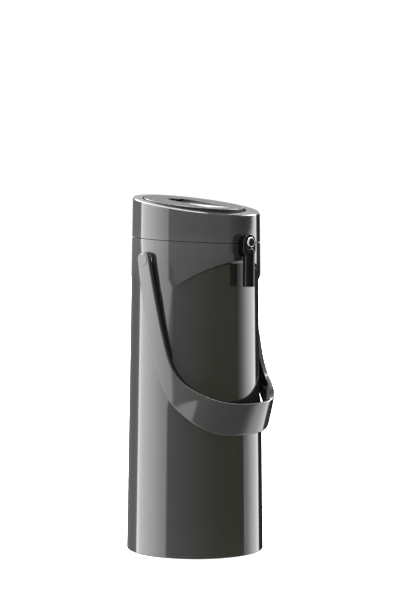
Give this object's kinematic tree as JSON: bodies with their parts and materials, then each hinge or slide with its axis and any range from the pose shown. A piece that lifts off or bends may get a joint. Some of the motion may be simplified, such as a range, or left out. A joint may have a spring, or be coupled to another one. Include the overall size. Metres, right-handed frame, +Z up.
{
  "type": "thermal airpot",
  "caption": "Tall round vacuum airpot with slanted lever-pump lid, black down-turned spout, swinging bail handle and turning base",
  "frame": {"origin": "centre of the ring that it stands on, on the table surface", "axes": "+X towards the spout, +Y to the left seen from behind the spout looking forward, +Z up"},
  "size_m": [0.1583, 0.1498, 0.3689],
  "materials": {
    "body": "anthracite, polished",
    "handle": "anthracite, polished",
    "lid_top": "anthracite, satin",
    "black": "black, polished",
    "inner_plastic": "black, moulded",
    "pale_plastic": "natural, moulded",
    "silicone": "translucent grey",
    "rubber": "black",
    "silvered_glass": "silvered inside",
    "steel": "plain"
  },
  "bodies": {
    "body": {"body_shell": "body", "base_cap": "inner_plastic", "base_cap_screws": "steel", "glass_inner_flask": "silvered_glass", "glass_outer_flask": "silvered_glass", "flask_spacers": "silicone", "liner_cushion": "rubber", "neck_gasket": "silicone", "neck_collar": "inner_plastic", "collar_screws": "steel", "tube_carrier": "pale_plastic", "dip_tube": "pale_plastic", "handle_pin_left": "steel", "handle_pin_right": "steel", "handle_washer_left": "pale_plastic", "handle_washer_right": "pale_plastic", "hinge_pin": "steel", "swivel_screw": "steel", "swivel_washer": "pale_plastic"},
    "foot": {"swivel_foot": "inner_plastic", "foot_ring": "rubber"},
    "handle": {"handle": "handle", "handle_cover_left": "handle", "handle_cover_right": "handle"},
    "lid": {"head_shell": "body", "head_base": "inner_plastic", "head_base_screws": "steel", "lid_seal": "silicone", "delivery_seal": "silicone", "check_valve": "silicone", "ball_chamber": "pale_plastic", "delivery_hose": "silicone", "spout": "black", "spout_seal": "silicone", "pump_base": "inner_plastic", "pump_base_screws": "steel", "pump_pin": "steel", "bellows": "silicone", "bellows_spring": "steel", "latch_spring": "steel"},
    "pump_lever": {"pump_pad": "lid_top"},
    "pump_lock": {"pump_lock": "black", "lock_hook": "inner_plastic"},
    "bellows_top": {"bellows_plate": "pale_plastic"},
    "latch": {"latch_button": "black", "latch_hook": "inner_plastic"},
    "ball": {"spill_ball": "pale_plastic"}
  },
  "joints": [
    {"name": "handle_swing", "type": "hinge", "parent": "body", "child": "handle", "pos_m": [-0.002, 0, 0.301], "axis": [0, -1, 0], "range_deg": [0, 302]},
    {"name": "lid_open", "type": "hinge", "parent": "body", "child": "lid", "pos_m": [-0.0675, 0, 0.3265], "axis": [0, -1, 0], "range_deg": [0, 80]},
    {"name": "base_turn", "type": "hinge", "parent": "body", "child": "foot", "pos_m": [0, 0, 0], "axis": [0, 0, 1], "continuous": true},
    {"name": "pump_press", "type": "hinge", "parent": "lid", "child": "pump_lever", "pos_m": [-0.048, 0, 0.355], "axis": [0, 1, 0], "range_deg": [0, 11], "stiffness_Nm_per_rad": 8},
    {"name": "bellows_squeeze", "type": "slide", "parent": "lid", "child": "bellows_top", "axis": [0, 0, -1], "range_m": [0, 0.0087], "deforming": ["bellows", "bellows_spring"]},
    {"name": "lock_slide", "type": "slide", "parent": "pump_lever", "child": "pump_lock", "axis": [0, 1, 0], "range_m": [-0.007, 0]},
    {"name": "latch_press", "type": "slide", "parent": "lid", "child": "latch", "axis": [-1, 0, 0], "range_m": [0, 0.0025], "stiffness_N_per_m": 600, "deforming": ["latch_spring"]},
    {"name": "ball_float", "type": "slide", "parent": "lid", "child": "ball", "axis": [0, 0, 1], "range_m": [0, 0.0018]}
  ],
  "couplings": [
    {"joint": "bellows_squeeze", "follows": "pump_press", "m_per_rad": 0.044}
  ]
}
